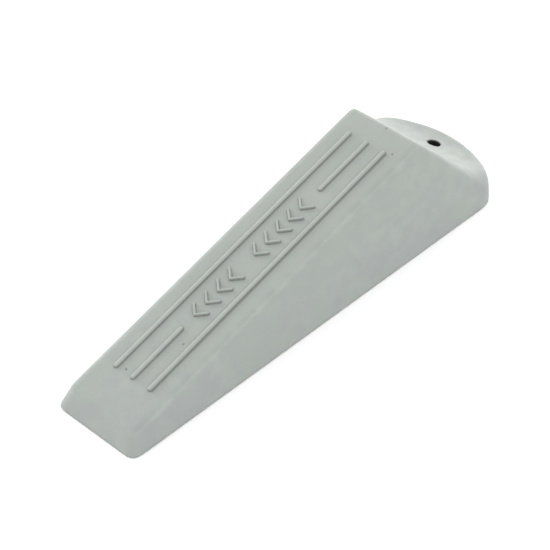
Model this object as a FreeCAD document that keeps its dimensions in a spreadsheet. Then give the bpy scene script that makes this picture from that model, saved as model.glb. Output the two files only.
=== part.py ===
import FreeCAD, Part
import math
import os

import Sketcher
from FreeCAD import Placement, Rotation, Vector

# A rubber door wedge, moulded in one piece. Millimetres, +Z up, +X towards the thick end.
# The origin is the middle of the footprint, on the surface that the wedge lies on.
#
# The sloping top has a constant width. Both sides lean outwards as they go down, by the mould's
# draft, so the footprint gets wider towards the thick end. The back drops from a straight ridge
# and scoops out into a low round heel, which has a vertical hole to hang the wedge by.

# alias, value in millimetres or degrees, meaning
DIMENSIONS = [
    ("length_overall", 181.3, "front edge, before rounding, to the rearmost point of the heel"),
    ("ridge_x", 142.2, "front edge to the ridge"),
    ("ridge_height", 36.6, "floor to the ridge, before rounding"),
    ("nose_depth", 4.5, "front edge to the start of the sloping top"),
    ("nose_height", 8.15, "floor to the start of the sloping top"),
    ("top_width", 31.0, "width of the sloping top"),
    ("side_draft", 18.7, "lean of each side from the vertical, in degrees"),
    ("back_slope", 46.0, "fall of the back below the ridge, in degrees"),
    ("scoop_radius", 25.0, "concave radius between the back and the heel"),
    ("heel_height", 7.6, "thickness of the heel"),
    ("heel_radius", 38.3, "radius of the heel seen from above"),
    ("heel_corner", 5.0, "rounding of the heel's upright corners"),
    ("nose_corner", 3.5, "rounding of the nose's upright corners"),
    ("crease_round", 3.0, "rounding along the top's sides and over the nose"),
    ("ridge_round", 1.5, "rounding of the ridge, the back's sides and the heel's rim"),
    ("floor_round", 0.5, "rounding of the footprint's edge"),
    ("hole_diameter", 5.0, "hanging hole"),
    ("hole_inset", 9.3, "hole's centre to the rearmost point of the heel"),
    ("rail_width", 1.5, "raised rails on the top"),
    ("rail_height", 1.0, "how far the rails and the chevrons stand up"),
    ("rail_spacing", 7.5, "from one rail to the next, across the top"),
    ("rail_start", 13.4, "start of the top to the rails' front ends, along the slope"),
    ("rail_end", 131.2, "start of the top to the rails' rear ends, along the slope"),
    ("gap_start", 37.5, "start of the top to the middle rail's break, along the slope"),
    ("gap_end", 105.5, "start of the top to the break's other end, along the slope"),
    ("mark_height", 6.2, "chevron's size across the top"),
    ("mark_depth", 2.9, "how far a chevron's point leads its ends"),
    ("mark_stroke", 1.2, "chevron's band, measured along the slope"),
    ("mark_pitch", 5.8, "from one chevron to the next, along the slope"),
    ("front_marks", 4, "chevrons in the front group"),
    ("rear_marks", 5, "chevrons in the rear group"),
    ("front_marks_start", 42.8, "start of the top to the first point of the front group"),
    ("rear_marks_start", 72.4, "start of the top to the first point of the rear group"),
]
SIZE = {alias: value for alias, value, meaning in DIMENSIONS}
NODE = "wedge_body"
MARGIN = 40.0  # how far the cutting sketches reach past the solid
SWEEP_EXTRA = 5.0  # how far the swept section runs past the overall length, before it is cut
HEEL_REACH = 58.0  # half of the angle that the heel's cutting arc spans, wider than the heel

# The slope of the top, as an expression of the sheet and as a number for first positions.
SLOPE = "(dims.ridge_height - dims.nose_height) / (dims.ridge_x - dims.nose_depth)"
SLOPE_NOW = (SIZE["ridge_height"] - SIZE["nose_height"]) / (SIZE["ridge_x"] - SIZE["nose_depth"])

# How far the footprint's rounding moves the front edge back, as an expression of the sheet.
SETBACK = "dims.floor_round * (1 / tan(atan(dims.nose_height / dims.nose_depth) / 2) - 1)"


def make_sheet(doc):
    sheet = doc.addObject("Spreadsheet::Sheet", "dims")
    for row, (alias, value, meaning) in enumerate(DIMENSIONS, start=1):
        sheet.set(f"A{row}", meaning)
        sheet.set(f"B{row}", str(value))
        sheet.setAlias(f"B{row}", alias)
    doc.recompute()
    return sheet


def make_sketch(body, name, role):
    """An empty sketch on one of the body's origin planes, such as XZ_Plane."""
    sketch = body.newObject("Sketcher::SketchObject", name)
    plane = next(f for f in body.Origin.OriginFeatures if f.Role == role)
    sketch.AttachmentSupport = [(plane, "")]
    sketch.MapMode = "FlatFace"
    return sketch


def make_top_sketch(body, name):
    """A sketch on the sloping top: its X runs up the slope from the nose, its Y across."""
    sketch = make_sketch(body, name, "XY_Plane")
    tilt = Rotation(Vector(0, -1, 0), math.degrees(math.atan(SLOPE_NOW)))
    sketch.AttachmentOffset = Placement(Vector(SIZE["nose_depth"], 0, SIZE["nose_height"]), tilt)
    sketch.setExpression("AttachmentOffset.Base.x", "dims.nose_depth")
    sketch.setExpression("AttachmentOffset.Base.z", "dims.nose_height")
    sketch.setExpression("AttachmentOffset.Rotation.Angle", f"atan({SLOPE})")
    return sketch


def add_polygon(sketch, points):
    """Closed outline of straight lines. Returns the lines' numbers."""
    count = len(points)
    lines = [Part.LineSegment(points[i], points[(i + 1) % count]) for i in range(count)]
    numbers = list(sketch.addGeometry(lines, False))
    for here, after in zip(numbers, numbers[1:] + numbers[:1]):
        sketch.addConstraint(Sketcher.Constraint("Coincident", here, 2, after, 1))
    return numbers


def pin(sketch, line, end, name, point, x_size, y_size):
    """Holds one end of a line at the sheet's x and y, given as expressions from the sketch's origin."""
    for axis, value, size in (("X", point.x, x_size), ("Y", point.y, y_size)):
        if size is None:
            kind, shift = ("PointOnObject", -2 if axis == "X" else -1)
            sketch.addConstraint(Sketcher.Constraint(kind, line, end, shift))
            continue
        constraint = Sketcher.Constraint("Distance" + axis, -1, 1, line, end, value)
        number = sketch.addConstraint(constraint)
        sketch.renameConstraint(number, f"{name}_{axis.lower()}")
        sketch.setExpression(f"Constraints.{name}_{axis.lower()}", size)


def add_section(body):
    """The drafted cross-section, swept up the slope of the top."""
    sketch = make_sketch(body, "section", "YZ_Plane")
    draft = math.tan(math.radians(SIZE["side_draft"]))
    half = SIZE["top_width"] / 2
    top = SIZE["nose_height"] - SIZE["nose_depth"] * SLOPE_NOW
    low = -SIZE["length_overall"] * SLOPE_NOW - MARGIN
    foot = half + (top - low) * draft
    corners = [Vector(-half, top), Vector(half, top), Vector(foot, low), Vector(-foot, low)]
    lines = add_polygon(sketch, corners)
    half_size = "dims.top_width / 2"
    top_size = f"dims.nose_height - dims.nose_depth * {SLOPE}"
    low_size = f"-dims.length_overall * {SLOPE} - {MARGIN}"
    foot_size = f"{half_size} + ({top_size} - ({low_size})) * tan(dims.side_draft * 1 deg)"
    pin(sketch, lines[0], 1, "left", corners[0], f"-{half_size}", top_size)
    pin(sketch, lines[1], 1, "right", corners[1], half_size, top_size)
    pin(sketch, lines[2], 1, "right_foot", corners[2], foot_size, low_size)
    pin(sketch, lines[3], 1, "left_foot", corners[3], f"-({foot_size})", low_size)
    pad = body.newObject("PartDesign::Pad", "sweep")
    pad.Profile = sketch
    pad.UseCustomVector = True
    pad.Direction = Vector(1, 0, SLOPE_NOW)
    pad.setExpression("Direction.z", SLOPE)
    pad.AlongSketchNormal = True
    pad.setExpression("Length", f"dims.length_overall + {SWEEP_EXTRA}")
    return pad


def cut(body, name, sketch):
    """Removes the sketch's area right through the body, both ways."""
    pocket = body.newObject("PartDesign::Pocket", name)
    pocket.Profile = sketch
    pocket.Type = "ThroughAll"
    pocket.Midplane = True
    return pocket


def cut_floor(body):
    """Everything below the floor."""
    sketch = make_sketch(body, "floor_line", "XZ_Plane")
    far = SIZE["length_overall"] + MARGIN
    low = -far
    corners = [Vector(-MARGIN, 0), Vector(far, 0), Vector(far, low), Vector(-MARGIN, low)]
    lines = add_polygon(sketch, corners)
    far_size = f"dims.length_overall + {MARGIN}"
    pin(sketch, lines[0], 1, "front", corners[0], f"-{MARGIN}", None)
    pin(sketch, lines[1], 1, "rear", corners[1], far_size, None)
    pin(sketch, lines[2], 1, "rear_low", corners[2], far_size, f"-({far_size})")
    pin(sketch, lines[3], 1, "front_low", corners[3], f"-{MARGIN}", f"-({far_size})")
    return cut(body, "floor", sketch)


def cut_nose(body):
    """Everything in front of the nose's slanted face."""
    sketch = make_sketch(body, "nose_line", "XZ_Plane")
    depth, height = SIZE["nose_depth"], SIZE["nose_height"]
    corners = [
        Vector(-depth, -height),
        Vector(depth * 2, height * 2),
        Vector(-MARGIN, height * 2),
        Vector(-MARGIN, -height),
    ]
    lines = add_polygon(sketch, corners)
    pin(sketch, lines[0], 1, "below", corners[0], "-dims.nose_depth", "-dims.nose_height")
    pin(sketch, lines[1], 1, "above", corners[1], "dims.nose_depth * 2", "dims.nose_height * 2")
    pin(sketch, lines[2], 1, "ahead", corners[2], f"-{MARGIN}", "dims.nose_height * 2")
    pin(sketch, lines[3], 1, "ahead_low", corners[3], f"-{MARGIN}", "-dims.nose_height")
    return cut(body, "nose", sketch)


def cut_back(body):
    """Everything above the back: a slope from the ridge, a concave arc, and the heel's flat top."""
    sketch = make_sketch(body, "back_line", "XZ_Plane")
    slope = math.radians(SIZE["back_slope"])
    radius, heel = SIZE["scoop_radius"], SIZE["heel_height"]
    ridge = Vector(SIZE["ridge_x"], SIZE["ridge_height"])
    foot_x = ridge.x + (ridge.y - heel) / math.tan(slope)
    tangent = radius * math.tan(slope / 2)
    centre = Vector(foot_x + tangent, heel + radius)
    on_slope = Vector(foot_x - tangent * math.cos(slope), heel + tangent * math.sin(slope))
    on_heel = Vector(centre.x, heel)
    far = SIZE["length_overall"] + MARGIN
    high = SIZE["ridge_height"] + MARGIN
    start = Vector(ridge.x - MARGIN, ridge.y + MARGIN * math.tan(slope))
    arc = Part.ArcOfCircle(Part.Circle(centre, Vector(0, 0, 1), radius),
                           1.5 * math.pi - slope, 1.5 * math.pi)
    outline = [
        Part.LineSegment(start, on_slope),
        arc,
        Part.LineSegment(on_heel, Vector(far, heel)),
        Part.LineSegment(Vector(far, heel), Vector(far, high)),
        Part.LineSegment(Vector(far, high), start),
    ]
    fall, scoop, flat, rear, lid = sketch.addGeometry(outline, False)
    constraints = [
        Sketcher.Constraint("Tangent", fall, 2, scoop, 1),
        Sketcher.Constraint("Tangent", scoop, 2, flat, 1),
        Sketcher.Constraint("Coincident", flat, 2, rear, 1),
        Sketcher.Constraint("Coincident", rear, 2, lid, 1),
        Sketcher.Constraint("Coincident", lid, 2, fall, 1),
        Sketcher.Constraint("Horizontal", flat),
        Sketcher.Constraint("Vertical", rear),
    ]
    sketch.addConstraint(constraints)
    number = sketch.addConstraint(Sketcher.Constraint("Radius", scoop, radius))
    sketch.renameConstraint(number, "scoop")
    sketch.setExpression("Constraints.scoop", "dims.scoop_radius")
    # The slope's line passes through the ridge, which is MARGIN along X from its upper end.
    rise = f"{MARGIN} * tan(dims.back_slope * 1 deg)"
    pin(sketch, fall, 1, "start", start,
        f"dims.ridge_x - {MARGIN}", f"dims.ridge_height + {rise}")
    number = sketch.addConstraint(Sketcher.Constraint("Angle", fall, -slope))
    sketch.renameConstraint(number, "fall")
    sketch.setExpression("Constraints.fall", "-dims.back_slope * 1 deg")
    pin(sketch, rear, 1, "heel_top", Vector(far, heel),
        f"dims.length_overall + {MARGIN}", "dims.heel_height")
    number = sketch.addConstraint(Sketcher.Constraint("DistanceY", -1, 1, rear, 2, high))
    sketch.renameConstraint(number, "high")
    sketch.setExpression("Constraints.high", f"dims.ridge_height + {MARGIN}")
    return cut(body, "back", sketch)


def cut_heel(body):
    """Everything outside the heel's arc, seen from above."""
    sketch = make_sketch(body, "heel_arc", "XY_Plane")
    radius = SIZE["heel_radius"]
    centre = Vector(SIZE["length_overall"] - radius, 0)
    reach = math.radians(HEEL_REACH)
    end = centre + Vector(radius * math.cos(reach), radius * math.sin(reach))
    far = SIZE["length_overall"] + MARGIN
    circle = Part.Circle(centre, Vector(0, 0, 1), radius)
    outline = [
        Part.ArcOfCircle(circle, -reach, reach),
        Part.LineSegment(end, Vector(far, end.y)),
        Part.LineSegment(Vector(far, end.y), Vector(far, -end.y)),
        Part.LineSegment(Vector(far, -end.y), Vector(end.x, -end.y)),
    ]
    arc, left, rear, right = sketch.addGeometry(outline, False)
    constraints = [
        Sketcher.Constraint("Coincident", arc, 2, left, 1),
        Sketcher.Constraint("Coincident", left, 2, rear, 1),
        Sketcher.Constraint("Coincident", rear, 2, right, 1),
        Sketcher.Constraint("Coincident", right, 2, arc, 1),
        Sketcher.Constraint("PointOnObject", arc, 3, -1),
        Sketcher.Constraint("Horizontal", left),
        Sketcher.Constraint("Horizontal", right),
        Sketcher.Constraint("Vertical", rear),
    ]
    sketch.addConstraint(constraints)
    sizes = [
        ("bend", Sketcher.Constraint("Radius", arc, radius), "dims.heel_radius"),
        ("centre", Sketcher.Constraint("DistanceX", -1, 1, arc, 3, centre.x),
         "dims.length_overall - dims.heel_radius"),
        ("reach", Sketcher.Constraint("DistanceY", -1, 1, arc, 2, end.y),
         f"dims.heel_radius * sin({HEEL_REACH} deg)"),
        ("far", Sketcher.Constraint("DistanceX", -1, 1, rear, 1, far),
         f"dims.length_overall + {MARGIN}"),
    ]
    for name, constraint, size in sizes:
        sketch.renameConstraint(sketch.addConstraint(constraint), name)
        sketch.setExpression(f"Constraints.{name}", size)
    return cut(body, "heel", sketch)


def cut_hole(body):
    sketch = make_sketch(body, "hole_circle", "XY_Plane")
    centre = Vector(SIZE["length_overall"] - SIZE["hole_inset"], 0)
    circle = Part.Circle(centre, Vector(0, 0, 1), SIZE["hole_diameter"] / 2)
    number = sketch.addGeometry(circle, False)
    sketch.addConstraint(Sketcher.Constraint("PointOnObject", number, 3, -1))
    sizes = [
        ("bore", Sketcher.Constraint("Diameter", number, SIZE["hole_diameter"]),
         "dims.hole_diameter"),
        ("place", Sketcher.Constraint("DistanceX", -1, 1, number, 3, centre.x),
         "dims.length_overall - dims.hole_inset"),
    ]
    for name, constraint, size in sizes:
        sketch.renameConstraint(sketch.addConstraint(constraint), name)
        sketch.setExpression(f"Constraints.{name}", size)
    return cut(body, "hanging_hole", sketch)


def edges_through(shape, points):
    """Names of the edges that pass through the points."""
    names = []
    for point in points:
        gaps = [edge.distToShape(Part.Vertex(point))[0] for edge in shape.Edges]
        names.append(f"Edge{gaps.index(min(gaps)) + 1}")
    return sorted(set(names))


def both_sides(x, y, z):
    return [Vector(x, y, z), Vector(x, -y, z)]


def half_width(x, z):
    """Half the wedge's width between its drafted sides, at a place on them."""
    top = SIZE["nose_height"] + (x - SIZE["nose_depth"]) * SLOPE_NOW
    return SIZE["top_width"] / 2 + (top - z) * math.tan(math.radians(SIZE["side_draft"]))


def fillet(body, name, points, radius):
    base = body.Tip
    feature = body.newObject("PartDesign::Fillet", name)
    feature.Base = (base, edges_through(base.Shape, points))
    feature.setExpression("Radius", f"dims.{radius}")
    body.Document.recompute()
    return feature


def round_edges(body):
    """The mould's roundings, from the upright corners to the footprint."""
    length, ridge_x, ridge_z = SIZE["length_overall"], SIZE["ridge_x"], SIZE["ridge_height"]
    heel = SIZE["heel_height"]
    # Where the sides meet the heel's arc, half way up the heel.
    corner_x = length
    for _ in range(20):
        across = half_width(corner_x, heel / 2)
        corner_x = length - SIZE["heel_radius"] + math.sqrt(SIZE["heel_radius"] ** 2 - across ** 2)
    fillet(body, "heel_corners", both_sides(corner_x, across, heel / 2), "heel_corner")
    nose_x, nose_z = SIZE["nose_depth"] / 2, SIZE["nose_height"] / 2
    fillet(body, "nose_corners", both_sides(nose_x, half_width(nose_x, nose_z), nose_z),
           "nose_corner")
    middle_x = (SIZE["nose_depth"] + ridge_x) / 2
    middle_z = (SIZE["nose_height"] + ridge_z) / 2
    fillet(body, "creases", both_sides(middle_x, SIZE["top_width"] / 2, middle_z),
           "crease_round")
    drop = (ridge_z - heel) / 2
    back_x = ridge_x + drop / math.tan(math.radians(SIZE["back_slope"]))
    sides = both_sides(back_x, half_width(back_x, ridge_z - drop), ridge_z - drop)
    fillet(body, "ridge_and_rim",
           [Vector(ridge_x, 0, ridge_z), *sides, Vector(length, 0, heel)], "ridge_round")
    fillet(body, "footprint", [Vector(0, 0, 0), *both_sides(middle_x, half_width(middle_x, 0), 0),
                               Vector(length, 0, 0)], "floor_round")


def add_slot(sketch, name, start, end, across):
    """A round-ended bar along X. start and end are aliases, across a multiple of rail_spacing."""
    radius = SIZE["rail_width"] / 2
    x0, x1, y = SIZE[start] + radius, SIZE[end] - radius, across * SIZE["rail_spacing"]
    up = Vector(0, 0, 1)
    outline = [
        Part.LineSegment(Vector(x0, y - radius), Vector(x1, y - radius)),
        Part.ArcOfCircle(Part.Circle(Vector(x1, y), up, radius), -math.pi / 2, math.pi / 2),
        Part.LineSegment(Vector(x1, y + radius), Vector(x0, y + radius)),
        Part.ArcOfCircle(Part.Circle(Vector(x0, y), up, radius), math.pi / 2, 1.5 * math.pi),
    ]
    low, rear, high, front = sketch.addGeometry(outline, False)
    constraints = [
        Sketcher.Constraint("Tangent", low, 2, rear, 1),
        Sketcher.Constraint("Tangent", rear, 2, high, 1),
        Sketcher.Constraint("Tangent", high, 2, front, 1),
        Sketcher.Constraint("Tangent", front, 2, low, 1),
        Sketcher.Constraint("Equal", front, rear),
        Sketcher.Constraint("Horizontal", low),
    ]
    sketch.addConstraint(constraints)
    if across == 0:
        sketch.addConstraint(Sketcher.Constraint("PointOnObject", front, 3, -1))
    sizes = [
        ("radius", Sketcher.Constraint("Radius", front, radius), "dims.rail_width / 2"),
        ("front", Sketcher.Constraint("DistanceX", -1, 1, front, 3, x0),
         f"dims.{start} + dims.rail_width / 2"),
        ("rear", Sketcher.Constraint("DistanceX", -1, 1, rear, 3, x1),
         f"dims.{end} - dims.rail_width / 2"),
    ]
    if across != 0:
        sizes.append(("across", Sketcher.Constraint("DistanceY", -1, 1, front, 3, y),
                      f"{across} * dims.rail_spacing"))
    for size_name, constraint, size in sizes:
        full_name = f"{name}_{size_name}"
        sketch.renameConstraint(sketch.addConstraint(constraint), full_name)
        sketch.setExpression(f"Constraints.{full_name}", size)


def raise_up(body, name, sketch):
    pad = body.newObject("PartDesign::Pad", name)
    pad.Profile = sketch
    pad.setExpression("Length", "dims.rail_height")
    body.Document.recompute()
    return pad


def add_rails(body):
    """Two long rails, and between them a rail that breaks off where the chevrons are."""
    sketch = make_top_sketch(body, "rail_outlines")
    add_slot(sketch, "left", "rail_start", "rail_end", 1)
    add_slot(sketch, "right", "rail_start", "rail_end", -1)
    add_slot(sketch, "front", "rail_start", "gap_start", 0)
    add_slot(sketch, "rear", "gap_end", "rail_end", 0)
    raise_up(body, "rails", sketch)


def add_chevrons(body, name, start, count):
    """A row of chevrons that point at the thin end. start and count are aliases."""
    sketch = make_top_sketch(body, f"{name}_outline")
    depth, half, stroke = SIZE["mark_depth"], SIZE["mark_height"] / 2, SIZE["mark_stroke"]
    first = SIZE[start]
    # x and y of each corner, with the sheet's expression for each
    corners = [
        ("point", first, 0, f"dims.{start}", None),
        ("left_tip", first + depth, half, f"dims.{start} + dims.mark_depth",
         "dims.mark_height / 2"),
        ("left_heel", first + depth + stroke, half,
         f"dims.{start} + dims.mark_depth + dims.mark_stroke", "dims.mark_height / 2"),
        ("notch", first + stroke, 0, f"dims.{start} + dims.mark_stroke", None),
        ("right_heel", first + depth + stroke, -half,
         f"dims.{start} + dims.mark_depth + dims.mark_stroke", "-dims.mark_height / 2"),
        ("right_tip", first + depth, -half, f"dims.{start} + dims.mark_depth",
         "-dims.mark_height / 2"),
    ]
    lines = add_polygon(sketch, [Vector(x, y) for _, x, y, _, _ in corners])
    for line, (label, x, y, x_size, y_size) in zip(lines, corners):
        pin(sketch, line, 1, label, Vector(x, y), x_size, y_size)
    pad = raise_up(body, f"{name}_first", sketch)
    row = body.newObject("PartDesign::LinearPattern", name)
    row.Originals = [pad]
    row.Direction = (sketch, ["H_Axis"])
    row.setExpression("Occurrences", f"dims.{count}")
    row.setExpression("Length", f"(dims.{count} - 1) * dims.mark_pitch")
    body.Tip = row
    body.Document.recompute()


def build(doc):
    make_sheet(doc)
    body = doc.addObject("PartDesign::Body", NODE)
    body.Label = NODE
    for feature in (add_section, cut_floor, cut_nose, cut_back, cut_heel):
        feature(body)
        doc.recompute()
    round_edges(body)
    cut_hole(body)
    doc.recompute()
    add_rails(body)
    add_chevrons(body, "front_chevrons", "front_marks_start", "front_marks")
    add_chevrons(body, "rear_chevrons", "rear_marks_start", "rear_marks")
    body.setExpression("Placement.Base.x", f"-(dims.length_overall + {SETBACK}) / 2")
    doc.recompute()
    return body


def check(doc, body):
    """Stops before anything is written if a feature failed or the solid isn't sound."""
    for item in doc.Objects:
        if "Invalid" in item.State or "Error" in item.State:
            raise RuntimeError(f"{item.Name} failed: {item.State}")
    shape = body.Shape
    if shape.isNull() or not shape.isValid() or len(shape.Solids) != 1:
        raise RuntimeError(f"{body.Label} is not one sound solid")


def report_steps(body):
    """Prints each feature's volume, which shows a cut that missed or a pad that did nothing."""
    for item in body.Group:
        if item.isDerivedFrom("PartDesign::Feature"):
            print(f"{item.Name:22s} {item.Shape.Volume:12.1f} mm3")
    box = body.Shape.optimalBoundingBox()
    print("low corner", round(box.XMin, 3), round(box.YMin, 3), round(box.ZMin, 3))
    print("high corner", round(box.XMax, 3), round(box.YMax, 3), round(box.ZMax, 3))


def main():
    doc = FreeCAD.newDocument("door_wedge")
    body = build(doc)
    check(doc, body)
    report_steps(body)
    os.makedirs("parts", exist_ok=True)
    body.Shape.exportStep(f"parts/{NODE}.step")


main()
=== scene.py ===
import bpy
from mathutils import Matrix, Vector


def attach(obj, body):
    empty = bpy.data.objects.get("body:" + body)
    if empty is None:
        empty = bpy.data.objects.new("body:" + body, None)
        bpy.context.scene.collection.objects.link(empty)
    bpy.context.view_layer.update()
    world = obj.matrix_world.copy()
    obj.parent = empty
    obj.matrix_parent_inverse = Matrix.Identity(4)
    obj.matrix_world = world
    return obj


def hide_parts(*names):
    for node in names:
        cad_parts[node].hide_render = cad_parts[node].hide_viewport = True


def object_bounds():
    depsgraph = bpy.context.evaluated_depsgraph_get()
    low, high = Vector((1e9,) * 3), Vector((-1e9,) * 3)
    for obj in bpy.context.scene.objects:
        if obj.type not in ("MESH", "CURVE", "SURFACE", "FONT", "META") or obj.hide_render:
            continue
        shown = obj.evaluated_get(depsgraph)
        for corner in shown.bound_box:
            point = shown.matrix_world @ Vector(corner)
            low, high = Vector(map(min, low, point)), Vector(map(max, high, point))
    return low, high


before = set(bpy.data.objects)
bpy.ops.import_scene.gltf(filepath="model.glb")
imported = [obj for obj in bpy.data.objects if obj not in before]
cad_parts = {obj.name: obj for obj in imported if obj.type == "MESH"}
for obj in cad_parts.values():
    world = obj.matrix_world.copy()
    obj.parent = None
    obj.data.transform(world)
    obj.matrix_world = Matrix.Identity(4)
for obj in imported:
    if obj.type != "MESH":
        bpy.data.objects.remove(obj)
cad_box = [list(corner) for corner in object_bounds()]

import itertools
import math

import bmesh
import bpy
import numpy as np
from mathutils import Vector

# A grey rubber door wedge on a white floor. The wedge is one moulding, so the visual model is one
# mesh. Its shape is a field that is negative inside the rubber and 0 on its surface: flat faces
# joined by soft roundings, then the pits and the hole, and last the rails and the chevrons. The
# field is in millimetres, with x measured from the wedge's front edge, and only the finished mesh
# is in the frame's metres.

MM = 0.001
NODE = "wedge_body"

# The wedge, as in the CAD model. The finished side faces stand further in: see upper_field.
LENGTH = 181.3
NOSE_X, NOSE_Z = 4.5, 8.15
RIDGE_X, RIDGE_Z = 142.2, 36.6
TOP_HALF = 15.5
SIDE_DRAFT = math.radians(18.7)
BACK_SLOPE = math.radians(46)
SCOOP_RADIUS = 25.0
HEEL_HEIGHT = 7.6
HEEL_RADIUS = 38.3
HOLE_X, HOLE_RADIUS = 172.0, 2.5
RAIL_HALF, RAIL_HEIGHT, RAIL_SPACING = 0.75, 1.0, 7.5
RAIL_START, RAIL_END = 13.4, 131.2
GAP_START, GAP_END = 37.5, 105.5
MARK_HALF_HEIGHT, MARK_DEPTH, MARK_STROKE, MARK_PITCH = 3.1, 2.9, 1.2, 5.8
MARK_GROUPS = ((42.8, 4), (72.4, 5))

# Radii of the visible roundings. The edges between the back and the sides soften toward the heel.
NOSE_ROUND = 4.0
NOSE_CORNER = 5.0
CREASE_ROUND = 4.0
RIDGE_ROUND = 2.2
BACK_SIDE_ROUND_TOP, BACK_SIDE_ROUND_HEEL = 2.5, 10.0
RIM_ROUND = 1.5
HEEL_CORNER = 8.0
FLOOR_ROUND = 0.3
HOLE_ROUND = 0.35

# Raised lines: the width of their steep edge, and the share of their height that is a crown
EDGE_WIDTH = 0.24
CROWN_SHARE = 0.22

# Flaws left by air bubbles: pits on the sloping top as (x, y), and on the -Y side as (x, z)
TOP_PITS = ((141.3, -1.4), (136.6, -14.5), (133.7, -10.3), (92.1, -14.7), (36.8, -4.5), (19.3, 4.0))
SIDE_PITS = ((35.4, 13.4), (43.8, 10.1), (111.9, 4.1))
PIT_RADIUS = 0.35

# Painted shade lies along the foot of each raised line, and darkens down to this depth in the hole and
# pits
FOOT_MIDDLE, FOOT_WIDTH, FOOT_SHARE = 0.08, 0.17, 0.5
SHADE_DEPTH = 0.8

# Wear: how much the nose has of the chalky marks along the top's edges, and how high scuffs reach
NOSE_WEAR = 0.65
SCUFF_TOP = 20.0
SCUFF_FADE = 1.3

# Rubber colours, as linear red, green and blue
RUBBER_LIGHT = (0.314, 0.342, 0.310, 1)
RUBBER_DARK = (0.286, 0.312, 0.284, 1)
RUBBER_COOL = (0.295, 0.318, 0.299, 1)
RUBBER_SCUFFED = (0.282, 0.298, 0.306, 1)
# The chalk colour, also painted over the tops of the raised lines as a highlight
CHALK_AND_HIGHLIGHT = (0.37, 0.40, 0.365, 1)
SPECK = (0.16, 0.165, 0.155, 1)
# Near black, for the painted shade along the foot of the raised lines and in the hole and pits
PAINTED_SHADE = (0.020, 0.018, 0.018, 1)

# The mesh, before it is moved into place
NET_LOW = (-1.7, -31.3, -1.1)
NET_HIGH = (LENGTH + 2, 31.9, RIDGE_Z + 2)
STEP = 0.9
FINE_CUTS = 2  # in each edge of a part that is made finer
FINE_MARGINS = (1.0, 0.3)  # how near to an outline it is made finer, first and again
RIM_REACH = 1.0  # how far down the hole it is made finer
FLOOR_MARGIN = 0.9  # how near to the floor edge it is made finer
EDGE_CATCH = 0.46  # how near to the floor edge a point is moved onto it
MERGE_REACH = 0.1  # how near two points are joined
LEAST_SLOPE = 0.2  # taken for the square of a field's slope where that is less, to keep moves short

# How far from the plane of the sloping top a point may be, to count as on it, to be made finer,
# to have raised lines over it, and to belong to the top's rounded edges
ON_TOP = 0.1
DETAIL_REACH = 1.5
RELIEF_REACH = 3.0
CREASE_REACH = 2.0

FAR_AWAY = 100.0

# The studio, in metres, degrees and watts
FLOOR_SIZE = 20
FLOOR_GAP = 0.0002
CAMERA_AZIMUTH, CAMERA_ELEVATION = 48.385, 45.046
CAMERA_AIM = Vector((-0.008164, -0.002708, 0.010452))
CAMERA_DISTANCE = 0.6047
SENSOR_WIDTH, FOCAL_LENGTH = 36, 118.65
WORLD_STRENGTH = 1.28
LIGHT_DISTANCE = 1.2

# Name, azimuth, elevation, size, power and colour. Azimuth 0 is the thick end, and 90 the +Y side.
SOFTBOXES = (
    ("back_softbox", 20, 22, 0.8, 1.8, (0.98, 0.98, 1)),
    ("back_low_softbox", 12, 9, 0.36, 2.6, (0.98, 0.98, 1)),
    ("far_fill", 95, 13, 0.5, 6.2, (1, 1, 1)),
    ("near_fill", -55, 12, 0.5, 0.35, (0.6, 0.75, 1)),
)

TOP_SLOPE = math.atan2(RIDGE_Z - NOSE_Z, RIDGE_X - NOSE_X)
MARK_HALF = MARK_STROKE / 2 * MARK_HALF_HEIGHT / math.hypot(MARK_HALF_HEIGHT, MARK_DEPTH)


def unit(x, y, z):
    return np.array((x, y, z)) / math.sqrt(x * x + y * y + z * z)


DRAFT_TAN = math.tan(SIDE_DRAFT)
UP = unit(0, 0, 1)
TOP_NORMAL = unit(-math.sin(TOP_SLOPE), 0, math.cos(TOP_SLOPE))
NOSE_NORMAL = unit(-NOSE_Z, 0, NOSE_X)
BACK_NORMAL = unit(math.sin(BACK_SLOPE), 0, math.cos(BACK_SLOPE))
SIDE_NORMAL = unit(-math.tan(TOP_SLOPE) * DRAFT_TAN, 1, DRAFT_TAN)
HEEL_NORMAL = unit(1, 1, 0)  # about where the heel's round wall meets a side


def blend_size(radius, a, b):
    """How far the blend of two faces reaches, to cut their corner as an arc of that radius does.

    a and b are the faces' normals.
    """
    turn = math.acos(float(np.dot(a, b)))
    return 4 * radius * (1 - math.cos(turn / 2))


def rounding(a, b, size):
    """1 in the middle of the rounded edge between two faces, and 0 where it ends."""
    return np.maximum(size - np.abs(a - b), 0) / size


def both(a, b, size):
    """The part inside both fields, with its edge rounded."""
    near = rounding(a, b, size)
    return np.maximum(a, b) + near * near * size / 4


def either(a, b, size):
    """The part inside either field, with its inner corner filled."""
    return -both(-a, -b, size)


NOSE_BLEND = blend_size(NOSE_ROUND, TOP_NORMAL, NOSE_NORMAL)
NOSE_CORNER_BLEND = blend_size(NOSE_CORNER, NOSE_NORMAL, SIDE_NORMAL)
CREASE_BLEND = blend_size(CREASE_ROUND, TOP_NORMAL, SIDE_NORMAL)
RIDGE_BLEND = blend_size(RIDGE_ROUND, TOP_NORMAL, BACK_NORMAL)
BACK_SIDE_BLEND = blend_size(1, BACK_NORMAL, SIDE_NORMAL)
SCOOP_BLEND = blend_size(SCOOP_RADIUS, BACK_NORMAL, UP)
RIM_BLEND = blend_size(RIM_ROUND, UP, HEEL_NORMAL)
HEEL_CORNER_BLEND = blend_size(HEEL_CORNER, HEEL_NORMAL, SIDE_NORMAL)
FLOOR_BLEND = blend_size(FLOOR_ROUND, -UP, SIDE_NORMAL)


def on_top(x, z):
    """Distance up the slope from the nose, and height above the sloping top."""
    dx, dz = x - NOSE_X, z - NOSE_Z
    along = dx * math.cos(TOP_SLOPE) + dz * math.sin(TOP_SLOPE)
    above = dz * math.cos(TOP_SLOPE) - dx * math.sin(TOP_SLOPE)
    return along, above


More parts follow.
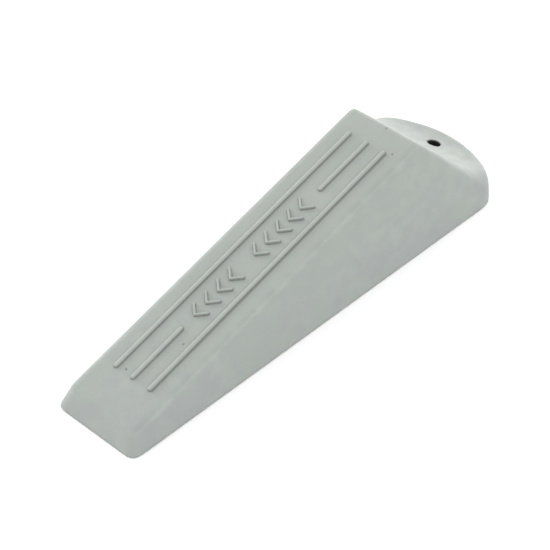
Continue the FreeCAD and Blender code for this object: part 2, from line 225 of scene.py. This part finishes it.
def top_height(x):
    return NOSE_Z + (x - NOSE_X) * math.tan(TOP_SLOPE)


def segment(u, v, start, end):
    """Distance in the plane from a straight line between two points."""
    du, dv = end[0] - start[0], end[1] - start[1]
    share = ((u - start[0]) * du + (v - start[1]) * dv) / (du * du + dv * dv)
    share = np.clip(share, 0, 1)
    return np.hypot(u - start[0] - share * du, v - start[1] - share * dv)


def rail_lines():
    """Start and end of each rail, along and across the top."""
    first, last = RAIL_START + RAIL_HALF, RAIL_END - RAIL_HALF
    for across in (-RAIL_SPACING, RAIL_SPACING):
        yield (first, across), (last, across)
    yield (first, 0), (GAP_START - RAIL_HALF, 0)
    yield (GAP_END + RAIL_HALF, 0), (last, 0)


def mark_lines():
    """Start and end of each chevron's arm."""
    for start, count in MARK_GROUPS:
        for number in range(count):
            point = start + number * MARK_PITCH + MARK_STROKE / 2
            for side in (-1, 1):
                yield (point, 0), (point + MARK_DEPTH, side * MARK_HALF_HEIGHT)


def outline(lines, half, along, across):
    """Distance in the plane of the top from the outline of some raised lines."""
    away = np.full(np.shape(along), FAR_AWAY)
    for start, end in lines:
        away = np.minimum(away, segment(along, across, start, end) - half)
    return away


def rail_outline(along, across):
    return outline(rail_lines(), RAIL_HALF, along, across)


def mark_outline(along, across):
    return outline(mark_lines(), MARK_HALF, along, across)


def heel_wall(x, y):
    """Distance from the heel's round wall, negative inside it."""
    return np.hypot(np.maximum(x - LENGTH + HEEL_RADIUS, 0), y) - HEEL_RADIUS


def upper_field(x, y, z):
    """The plain wedge, with its walls going on below the floor.

    A fault that is left in: the last two blends join parts that share the side faces, and a blend
    of two equal fields moves their surface in. So each side face stands 0.62 mm nearer to the
    middle than its own formula, and the CAD model, put it.
    """
    y = np.abs(y)
    _, above = on_top(x, z)
    nose = x * NOSE_NORMAL[0] + z * NOSE_NORMAL[2]
    side = (y - TOP_HALF - (top_height(x) - z) * DRAFT_TAN) * SIDE_NORMAL[1]
    fall = (x - RIDGE_X) * BACK_NORMAL[0] + (z - RIDGE_Z) * BACK_NORMAL[2]
    back = either(fall, z - HEEL_HEIGHT, SCOOP_BLEND)
    heel = heel_wall(x, y)
    front = both(above, nose, NOSE_BLEND)
    front = both(front, side, CREASE_BLEND)
    front = np.maximum(front, both(nose, side, NOSE_CORNER_BLEND))
    toward_heel = np.clip((x - RIDGE_X) / (LENGTH - RIDGE_X), 0, 1)
    back_round = BACK_SIDE_ROUND_TOP + toward_heel * (BACK_SIDE_ROUND_HEEL - BACK_SIDE_ROUND_TOP)
    rear = both(back, side, back_round * BACK_SIDE_BLEND)
    wall = both(heel, side, HEEL_CORNER_BLEND)
    shape = both(front, rear, RIDGE_BLEND)
    return both(shape, wall, RIM_BLEND)


def body_field(x, y, z):
    """The plain wedge."""
    return both(upper_field(x, y, z), -z, FLOOR_BLEND)


def pits():
    """The middle of each pit, on the plain surface."""
    for x, y in TOP_PITS:
        yield x, y, top_height(x)
    for x, z in SIDE_PITS:
        yield x, -TOP_HALF - (top_height(x) - z) * DRAFT_TAN, z


def wedge_field(x, y, z):
    """The wedge with its hole and pits, without the raised lines."""
    shape = body_field(x, y, z)
    for pit in pits():
        ball = PIT_RADIUS - np.sqrt((x - pit[0]) ** 2 + (y - pit[1]) ** 2 + (z - pit[2]) ** 2)
        shape = both(shape, ball, PIT_RADIUS)
    hole = HOLE_RADIUS - np.hypot(x - HOLE_X, y)
    return both(shape, hole, HOLE_ROUND)


def ease(share):
    """0 to 1, starting and ending level."""
    share = np.clip(share, 0, 1)
    return share * share * (3 - 2 * share)


def raised(away, half):
    """Height of a raised line with steep edges and a slightly crowned top."""
    from_middle = np.clip(1 + away / half, 0, 1)
    crown = 1 - CROWN_SHARE * from_middle ** 2
    return RAIL_HEIGHT * crown * ease(0.5 - away / EDGE_WIDTH)


def relief(along, across):
    """Height of the rails and the chevrons above the sloping top."""
    return np.maximum(raised(rail_outline(along, across), RAIL_HALF),
                      raised(mark_outline(along, across), MARK_HALF))


def field(x, y, z):
    """The whole moulding."""
    along, above = on_top(x, z)
    return wedge_field(x, y, z) - np.where(above > -RELIEF_REACH, relief(along, y), 0)


def slope_of(shape, points, reach=0.01):
    """A field's gradient at each point."""
    parts = []
    for axis in range(3):
        step = np.zeros(3)
        step[axis] = reach
        parts.append((shape(*(points + step).T) - shape(*(points - step).T)) / (2 * reach))
    return np.stack(parts, axis=1)


def settle(points, shape=wedge_field, rounds=6):
    """Moves points onto a field's surface."""
    for _ in range(rounds):
        slope = slope_of(shape, points)
        size = np.maximum((slope * slope).sum(axis=1), LEAST_SLOPE)
        points = points - slope * (shape(*points.T) / size)[:, None]
    return points


def true_up(points):
    """Moves the points beside the floor edge onto it, so that it runs straight."""
    cell_top = points + (0, 0, STEP / 2)
    beside = (np.abs(points[:, 2]) < STEP / 2) & (np.abs(upper_field(*cell_top.T)) < EDGE_CATCH)
    for _ in range(4):
        points[beside] = settle(points[beside], upper_field, 1)
        points[beside, 2] = 0
    return points


def raise_relief(points):
    """Moves the points of the sloping top out by the height of what stands on it."""
    along, above = on_top(points[:, 0], points[:, 2])
    height = np.where(np.abs(above) < ON_TOP, relief(along, points[:, 1]), 0)
    return points + height[:, None] * TOP_NORMAL


def surface_net(low, high, step):
    """Points and four-sided faces near the field's zero, one point for each cell that it crosses."""
    axes = [np.arange(a, b + step, step) for a, b in zip(low, high)]
    inside = wedge_field(*np.meshgrid(*axes, indexing="ij")) < 0
    cells = np.zeros([n - 1 for n in inside.shape], dtype=int)
    for corner in itertools.product((0, 1), repeat=3):
        cells += inside[tuple(slice(c, c + n) for c, n in zip(corner, cells.shape))]
    crossed = (cells > 0) & (cells < 8)
    number = np.full(cells.shape, -1)
    number[crossed] = np.arange(crossed.sum())
    points = np.stack([axes[i][index] + step / 2 for i, index in enumerate(np.nonzero(crossed))], 1)
    faces = []
    for axis in range(3):
        u, v = (axis + 1) % 3, (axis + 2) % 3
        ahead = np.moveaxis(inside, (axis, u, v), (0, 1, 2))
        numbers = np.moveaxis(number, (axis, u, v), (0, 1, 2))
        here, after = ahead[:-1, 1:-1, 1:-1], ahead[1:, 1:-1, 1:-1]
        ring = np.stack([numbers[:, :-1, :-1], numbers[:, 1:, :-1],
                         numbers[:, 1:, 1:], numbers[:, :-1, 1:]], axis=-1)
        faces.append(ring[here & ~after])
        faces.append(ring[~here & after][:, ::-1])
    return points, np.concatenate(faces)


def refine(mesh, wanted):
    """Splits the faces into smaller ones where their points are wanted."""
    work = bmesh.new()
    work.from_mesh(mesh)
    work.verts.ensure_lookup_table()
    edges = [e for e in work.edges if wanted[e.verts[0].index] and wanted[e.verts[1].index]]
    bmesh.ops.subdivide_edges(work, edges=edges, cuts=FINE_CUTS, use_grid_fill=True,
                              use_single_edge=True)
    work.to_mesh(mesh)
    work.free()


def merge(mesh):
    """Joins the points that have come together."""
    work = bmesh.new()
    work.from_mesh(mesh)
    bmesh.ops.remove_doubles(work, verts=work.verts, dist=MERGE_REACH)
    work.to_mesh(mesh)
    work.free()


def points_of(mesh):
    """The mesh's points, one in a row."""
    flat = np.empty(len(mesh.vertices) * 3)
    mesh.vertices.foreach_get("co", flat)
    return flat.reshape(-1, 3)


def wants_detail(points, margin):
    """The points within a margin of a raised line's outline, a pit or the hole's rim."""
    x, y, z = points.T
    along, above = on_top(x, z)
    away = np.minimum(np.abs(rail_outline(along, y)), np.abs(mark_outline(along, y)))
    wanted = (away < margin) & (np.abs(above) < DETAIL_REACH)
    for pit in pits():
        wanted |= np.linalg.norm(points - pit, axis=1) < PIT_RADIUS + margin
    from_bore = np.abs(np.hypot(x - HOLE_X, y) - HOLE_RADIUS)
    return wanted | ((from_bore < margin) & (z > HEEL_HEIGHT - RIM_REACH))


def near_floor_edge(points):
    """The points beside the edge of the footprint."""
    x, y, z = points.T
    return (z < FLOOR_MARGIN) & (upper_field(x, y, z) > -FLOOR_MARGIN)


def painted_shade(points):
    """How much painted shade each point has, 0 to 1, along the foot of the raised lines and down the
    hole and pits: points lie on the moulding before its lines are raised.
    """
    x, y, z = points.T
    along, above = on_top(x, z)
    away = np.minimum(rail_outline(along, y), mark_outline(along, y))
    foot = ease(1 - np.abs(away - FOOT_MIDDLE) / FOOT_WIDTH)
    foot = np.where(np.abs(above) < ON_TOP, FOOT_SHARE * foot, 0)
    return np.maximum(foot, ease(-body_field(x, y, z) / SHADE_DEPTH))


def crest_highlight(points):
    """1 on top of the raised lines, and 0 at their foot: how much their painted highlight lightens them.
    """
    along, above = on_top(points[:, 0], points[:, 2])
    return np.where(np.abs(above) < ON_TOP, relief(along, points[:, 1]) / RAIL_HEIGHT, 0)


def crease(points):
    """1 along the long rounded edges of the sloping top, less along the nose, 0 away from them."""
    x, y, z = points.T
    _, above = on_top(x, z)
    side = (np.abs(y) - TOP_HALF - (top_height(x) - z) * DRAFT_TAN) * SIDE_NORMAL[1]
    nose = x * NOSE_NORMAL[0] + z * NOSE_NORMAL[2]
    bands = np.maximum(rounding(above, side, CREASE_BLEND),
                       NOSE_WEAR * rounding(above, nose, NOSE_BLEND))
    return np.where(above > -CREASE_REACH, bands, 0)


def low_down(points):
    """1 beside the floor, going over to 0 where the scuffs end."""
    return ease(SCUFF_FADE * (1 - points[:, 2] / SCUFF_TOP))


def store(mesh, name, values):
    """Keeps one number for each point in the mesh, for the material."""
    layer = mesh.attributes.new(name, "FLOAT", "POINT")
    layer.data.foreach_set("value", values)


def make_wedge(x_middle):
    """The whole moulding as one mesh. x_middle is the distance from its front edge to the origin."""
    points, faces = surface_net(NET_LOW, NET_HIGH, STEP)
    mesh = bpy.data.meshes.new("wedge_moulding")
    mesh.from_pydata(settle(true_up(points)), [], faces)
    merge(mesh)
    points = points_of(mesh)
    refine(mesh, wants_detail(points, FINE_MARGINS[0]) | near_floor_edge(points))
    points = settle(points_of(mesh))
    refine(mesh, wants_detail(points, FINE_MARGINS[1]))
    points = settle(points_of(mesh))
    store(mesh, "painted_shade", painted_shade(points))
    store(mesh, "crease", crease(points))
    store(mesh, "crest_highlight", crest_highlight(points))
    store(mesh, "low", low_down(points))
    points = raise_relief(points)
    normals = slope_of(field, points)
    normals /= np.linalg.norm(normals, axis=1)[:, None]
    placed = (points - (x_middle, 0, 0)) * MM
    mesh.vertices.foreach_set("co", placed.ravel())
    mesh.update()
    mesh.polygons.foreach_set("use_smooth", [True] * len(mesh.polygons))
    mesh.normals_split_custom_set_from_vertices(normals)
    wedge = bpy.data.objects.new("wedge_moulding", mesh)
    bpy.context.scene.collection.objects.link(wedge)
    return wedge


class Shader:
    """A material's node tree, with short ways to add and join nodes."""

    def __init__(self, name):
        self.material = bpy.data.materials.new(name)
        self.material.use_nodes = True
        self.tree = self.material.node_tree
        self.surface = self.tree.nodes["Principled BSDF"]

    def add(self, kind, **inputs):
        """A node. Each input, named with _ for a space, is a value or another node's output."""
        node = self.tree.nodes.new("ShaderNode" + kind)
        for name, value in inputs.items():
            self.feed(node.inputs[name.replace("_", " ")], value)
        return node

    def feed(self, socket, value):
        """Sets a socket, or joins it to another node's output."""
        if isinstance(value, bpy.types.NodeSocket):
            self.tree.links.new(value, socket)
        else:
            socket.default_value = value

    def noise(self, position, scale, detail=3, roughness=0.55):
        """Soft noise of about 0 to 1, whose blotches are 1 / scale metres apart."""
        node = self.add("TexNoise", Vector=position, Scale=scale, Detail=detail, Roughness=roughness)
        return node.outputs["Fac"]

    def ramp(self, value, low, high, start=0.0, end=1.0):
        """A value moved smoothly from start to end while the input goes from low to high."""
        node = self.add("MapRange", Value=value, From_Min=low, From_Max=high, To_Min=start, To_Max=end)
        node.interpolation_type = "SMOOTHSTEP"
        return node.outputs["Result"]

    def times(self, a, b):
        """Two values multiplied."""
        node = self.tree.nodes.new("ShaderNodeMath")
        node.operation = "MULTIPLY"
        self.feed(node.inputs[0], a)
        self.feed(node.inputs[1], b)
        return node.outputs[0]

    def blend(self, share, first, second):
        """The first colour, going over to the second with the share."""
        node = self.tree.nodes.new("ShaderNodeMix")
        node.data_type = "RGBA"
        self.feed(node.inputs["Factor"], share)
        self.feed(node.inputs[6], first)
        self.feed(node.inputs[7], second)
        return node.outputs[2]

    def stretched(self, position, scale, turn):
        """The position stretched and then turned, for noise that runs in lines."""
        node = self.add("Mapping", Vector=position, Scale=scale, Rotation=turn)
        return node.outputs["Vector"]

    def layer(self, name):
        """The numbers stored in the mesh under that name."""
        node = self.tree.nodes.new("ShaderNodeAttribute")
        node.attribute_name = name
        return node.outputs["Fac"]

    def bump(self, height, depth, below=None):
        """Shallow relief of that depth in metres, on top of another bump."""
        node = self.add("Bump", Height=height, Distance=depth)
        if below is not None:
            self.tree.links.new(below, node.inputs["Normal"])
        return node.outputs["Normal"]


def grey_rubber():
    """Matt moulded rubber: blotchy and faintly streaked, with chalky creases and dust, painted shade at
    the foot of its raised lines and in its hole and pits, and a painted highlight on its raised lines.
    """
    shader = Shader("grey_rubber")
    position = shader.add("TexCoord").outputs["Object"]
    blotches = shader.noise(position, 38, detail=4)
    clouds = shader.noise(position, 210, detail=3)
    flow_axis = shader.stretched(position, (0.16, 1, 1), (0, 0, 0.45))
    streaks = shader.noise(flow_axis, 240, detail=4, roughness=0.65)
    scuffs = shader.noise(position, 70, detail=2)
    chalk_marks = shader.noise(position, 150, detail=5, roughness=0.62)
    specks = shader.add("TexVoronoi", Vector=position, Scale=330).outputs["Distance"]
    grain = shader.noise(position, 2600, detail=2)

    colour = shader.blend(shader.ramp(blotches, 0.3, 0.7), RUBBER_DARK, RUBBER_LIGHT)
    colour = shader.blend(shader.ramp(clouds, 0.4, 0.62, 0, 0.8), colour, RUBBER_COOL)
    colour = shader.blend(shader.ramp(streaks, 0.5, 0.7, 0, 0.6), colour, RUBBER_DARK)
    scuffed = shader.times(shader.layer("low"), shader.ramp(scuffs, 0.4, 0.6, 0, 0.55))
    colour = shader.blend(scuffed, colour, RUBBER_SCUFFED)
    chalk = shader.times(shader.layer("crease"), shader.ramp(chalk_marks, 0.42, 0.66, 0, 0.55))
    colour = shader.blend(chalk, colour, CHALK_AND_HIGHLIGHT)
    # A thin lighter line along the middle of each long rounded edge
    crease_middle_line = shader.ramp(shader.layer("crease"), 0.72, 1, 0, 0.3)
    colour = shader.blend(crease_middle_line, colour, CHALK_AND_HIGHLIGHT)
    # Painted highlight: the tops of the raised lines are lightened toward the chalk colour
    colour = shader.blend(shader.times(shader.layer("crest_highlight"), 0.3), colour, CHALK_AND_HIGHLIGHT)
    colour = shader.blend(shader.ramp(specks, 0.05, 0.10, 0.28, 0), colour, SPECK)
    # Painted shade: near black along the foot of the raised lines and down the hole and pits
    colour = shader.blend(shader.layer("painted_shade"), colour, PAINTED_SHADE)

    roughness = shader.ramp(clouds, 0.3, 0.7, 0.5, 0.64)
    waves = shader.bump(blotches, 0.0004)
    orange_peel = shader.bump(clouds, 0.00007, waves)
    pores = shader.bump(chalk_marks, 0.00007, orange_peel)
    shader.feed(shader.surface.inputs["Base Color"], colour)
    shader.feed(shader.surface.inputs["Roughness"], roughness)
    shader.feed(shader.surface.inputs["Normal"], shader.bump(grain, 0.000015, pores))
    shader.surface.inputs["Specular IOR Level"].default_value = 0.35
    shader.surface.inputs["Sheen Weight"].default_value = 0.12
    shader.surface.inputs["Sheen Roughness"].default_value = 0.6
    return shader.material


def floor_paint():
    shader = Shader("studio_floor")
    shader.surface.inputs["Base Color"].default_value = (0.95, 0.95, 0.95, 1)
    shader.surface.inputs["Roughness"].default_value = 0.8
    return shader.material


def make_floor():
    """A plain white floor, just below the wedge's flat underside."""
    bpy.ops.mesh.primitive_plane_add(size=FLOOR_SIZE, location=(0, 0, -FLOOR_GAP))
    plane = bpy.context.object
    plane.name = "studio_floor"
    plane.data.materials.append(floor_paint())
    return plane


def make_camera():
    """Looks down on the wedge from the side of its thin end."""
    azimuth, elevation = math.radians(CAMERA_AZIMUTH), math.radians(CAMERA_ELEVATION)
    ahead = Vector((math.sin(azimuth), math.cos(azimuth), 0))
    look = ahead * math.cos(elevation) - Vector((0, 0, math.sin(elevation)))
    optics = bpy.data.cameras.new("camera")
    optics.sensor_width = SENSOR_WIDTH
    optics.lens = FOCAL_LENGTH
    camera = bpy.data.objects.new("camera", optics)
    camera.location = CAMERA_AIM - look * CAMERA_DISTANCE
    camera.rotation_mode = "QUATERNION"
    camera.rotation_quaternion = look.to_track_quat("-Z", "Y")
    bpy.context.scene.collection.objects.link(camera)
    bpy.context.scene.camera = camera
    bpy.context.scene.view_settings.view_transform = "Standard"


def make_world():
    """Even white light from everywhere."""
    world = bpy.data.worlds.new("studio")
    world.use_nodes = True
    background = world.node_tree.nodes["Background"]
    background.inputs["Color"].default_value = (1, 1, 1, 1)
    background.inputs["Strength"].default_value = WORLD_STRENGTH
    bpy.context.scene.world = world


def add_light(name, azimuth, elevation, size, power, colour):
    """A soft square light that faces the wedge."""
    lamp = bpy.data.lights.new(name, "AREA")
    lamp.size = size
    lamp.energy = power
    lamp.color = colour
    light = bpy.data.objects.new(name, lamp)
    a, e = math.radians(azimuth), math.radians(elevation)
    toward = Vector((math.cos(a) * math.cos(e), math.sin(a) * math.cos(e), math.sin(e)))
    light.location = toward * LIGHT_DISTANCE
    light.rotation_mode = "QUATERNION"
    light.rotation_quaternion = (-toward).to_track_quat("-Z", "Y")
    bpy.context.scene.collection.objects.link(light)


wedge = make_wedge(LENGTH - cad_box[1][0] / MM)
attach(wedge, "root")
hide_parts(NODE)
wedge.data.materials.append(grey_rubber())

floor = make_floor()
make_camera()
make_world()
for softbox in SOFTBOXES:
    add_light(*softbox)

print("triangles", sum(len(p.vertices) - 2 for p in wedge.data.polygons))
